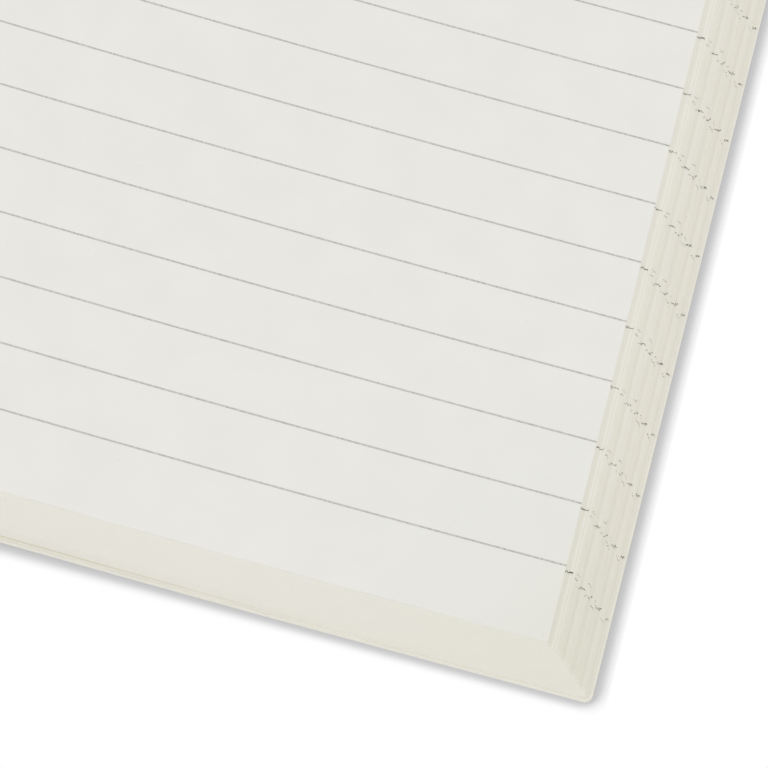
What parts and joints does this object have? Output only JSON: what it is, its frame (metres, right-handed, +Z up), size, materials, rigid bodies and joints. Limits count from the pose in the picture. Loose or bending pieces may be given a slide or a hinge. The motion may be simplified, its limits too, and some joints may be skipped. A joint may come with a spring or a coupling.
{
  "type": "ruled notebook",
  "caption": "Soft-cover ruled notebook lying open at its first page, sewn leaves arched beside a leaning spine, with plain card covers hinged at its creases.",
  "frame": {"origin": "middle of the open spread, on the table", "axes": "+X across the spread towards the fore-edge of the ruled pages, +Y up the page towards its head, +Z up from the table"},
  "size_m": [0.3008, 0.2102, 0.0157],
  "materials": {
    "ruled_paper": "uncoated, matt",
    "cover_card": "uncoated, matt",
    "lining_cloth": "open plain weave",
    "thread": "twisted linen"
  },
  "bodies": {
    "front_cover": {"front_cover": "cover_card"},
    "book_block": {"page_block": "ruled_paper", "spine_panel": "cover_card", "spine_lining": "lining_cloth", "sewing_thread": "thread"},
    "back_cover": {"back_cover": "cover_card"}
  },
  "joints": [
    {"name": "front_cover_hinge", "type": "hinge", "parent": "front_cover", "child": "book_block", "pos_m": [-0.00306, 0, 0.01052], "axis": [0, -1, 0], "range_deg": [0, 182]},
    {"name": "back_cover_hinge", "type": "hinge", "parent": "book_block", "child": "back_cover", "pos_m": [0.00251, 0, 0.00098], "axis": [0, 1, 0], "range_deg": [0, 175]}
  ]
}
